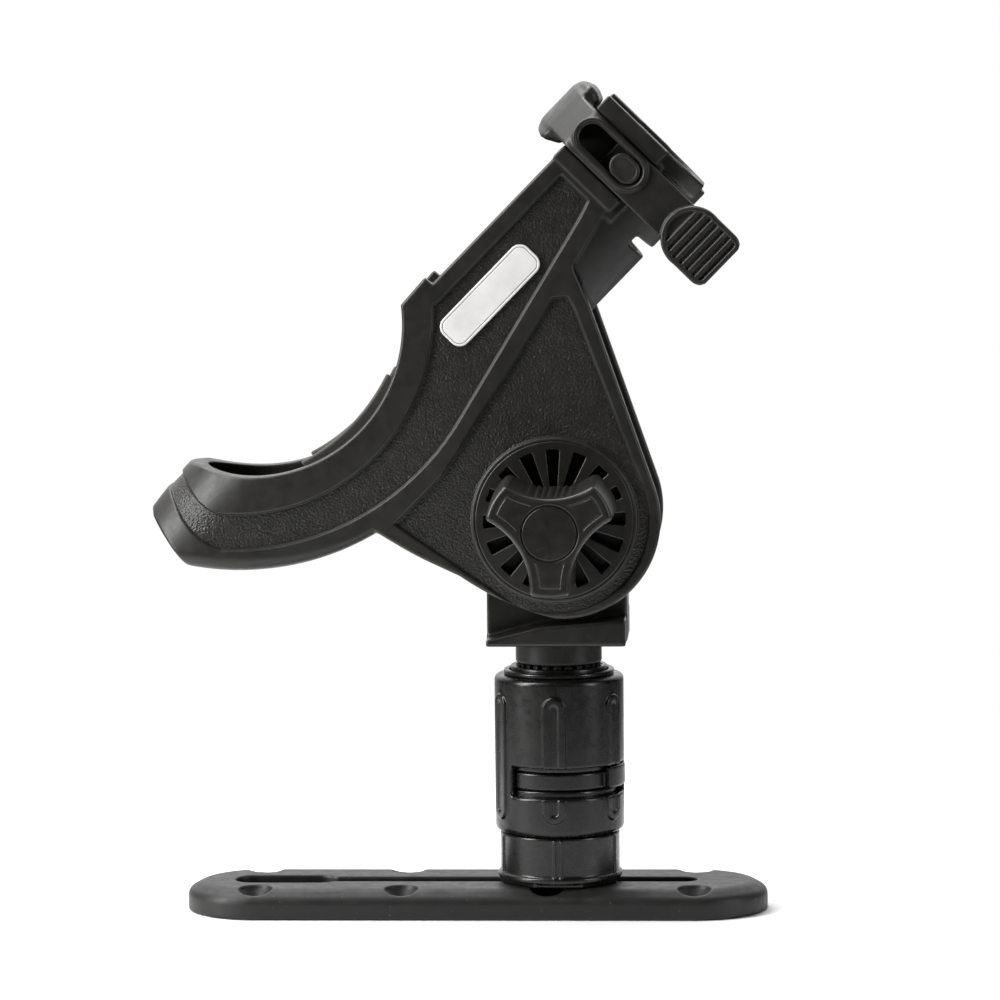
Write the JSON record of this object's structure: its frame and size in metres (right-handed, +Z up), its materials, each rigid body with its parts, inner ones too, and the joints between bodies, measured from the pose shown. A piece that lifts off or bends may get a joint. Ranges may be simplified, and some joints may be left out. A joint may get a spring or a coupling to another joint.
{
  "type": "tilting fishing rod holder",
  "caption": "Fishing rod holder with a tilting open cradle and sliding gate, on a splined swivel post in an adapter that slides along a slotted track.",
  "frame": {"origin": "centre of the track's bottom face", "axes": "+X along the track towards the post, +Y from the knob side to the far side, +Z up"},
  "size_m": [0.2128, 0.1041, 0.2884],
  "materials": {
    "track_nylon": "moulded glass-filled nylon, satin charcoal with light scuffs",
    "adapter_nylon": "moulded nylon, semi-gloss black",
    "bracket_nylon": "moulded nylon, semi-gloss black",
    "holder_nylon": "moulded nylon, satin borders round pebble-textured fields",
    "disc_nylon": "moulded nylon, satin black",
    "gate_nylon": "moulded nylon, satin charcoal",
    "knob_nylon": "moulded nylon, satin charcoal",
    "liner_rubber": "soft rubber, matt charcoal",
    "label_plastic": "light grey plastic, satin, blank",
    "zinc_steel": "zinc-plated steel",
    "brass": "turned brass"
  },
  "bodies": {
    "track": {"track_rail": "track_nylon"},
    "adapter": {"slide_foot": "track_nylon", "clamp_stud": "zinc_steel", "stud_washer": "zinc_steel", "stud_nut": "zinc_steel", "adapter_base": "adapter_nylon"},
    "grip": {"grip_sleeve": "adapter_nylon", "sleeve_collar": "adapter_nylon"},
    "lock": {"lock_ring": "adapter_nylon"},
    "socket": {"gear_socket": "adapter_nylon", "socket_snap_ring": "zinc_steel"},
    "post": {"post_bracket": "bracket_nylon", "pivot_bush": "zinc_steel", "bracket_tooth_ring_near": "bracket_nylon", "bracket_tooth_ring_far": "bracket_nylon"},
    "holder": {"holder_body": "holder_nylon", "clamp_disc_near": "disc_nylon", "clamp_disc_far": "disc_nylon", "holder_tooth_ring_near": "holder_nylon", "holder_tooth_ring_far": "holder_nylon", "cradle_liner": "liner_rubber", "label_plate_near": "label_plastic", "label_plate_far": "label_plastic", "gate_boss_near": "gate_nylon", "gate_boss_far": "gate_nylon", "tilt_bolt": "zinc_steel", "bolt_washer_far": "zinc_steel"},
    "knob": {"tilt_knob": "knob_nylon", "knob_nut": "brass", "knob_washer": "zinc_steel"},
    "gate": {"lock_gate": "gate_nylon"}
  },
  "joints": [
    {"name": "track_slide", "type": "slide", "parent": "track", "child": "adapter", "axis": [1, 0, 0], "range_m": [-0.06, 0.03]},
    {"name": "grip_turn", "type": "hinge", "parent": "adapter", "child": "grip", "pos_m": [0.0292, 0, 0.056], "axis": [0, 0, 1], "range_deg": [-90, 0]},
    {"name": "lock_ring_turn", "type": "hinge", "parent": "grip", "child": "lock", "pos_m": [0.0292, 0, 0.047], "axis": [0, 0, 1], "range_deg": [-90, 0]},
    {"name": "swivel", "type": "hinge", "parent": "adapter", "child": "socket", "pos_m": [0.0292, 0, 0.08], "axis": [0, 0, 1], "continuous": true},
    {"name": "post_lift", "type": "slide", "parent": "socket", "child": "post", "axis": [0, 0, 1], "range_m": [0, 0.045]},
    {"name": "tilt", "type": "hinge", "parent": "post", "child": "holder", "pos_m": [0.0292, 0, 0.139], "axis": [0, 1, 0], "range_deg": [-38, 38]},
    {"name": "knob_turn", "type": "hinge", "parent": "holder", "child": "knob", "pos_m": [0.0292, -0.045, 0.139], "axis": [0, -1, 0], "continuous": true},
    {"name": "gate_slide", "type": "slide", "parent": "holder", "child": "gate", "axis": [0.7133, 0, -0.7009], "range_m": [0, 0.014]}
  ]
}
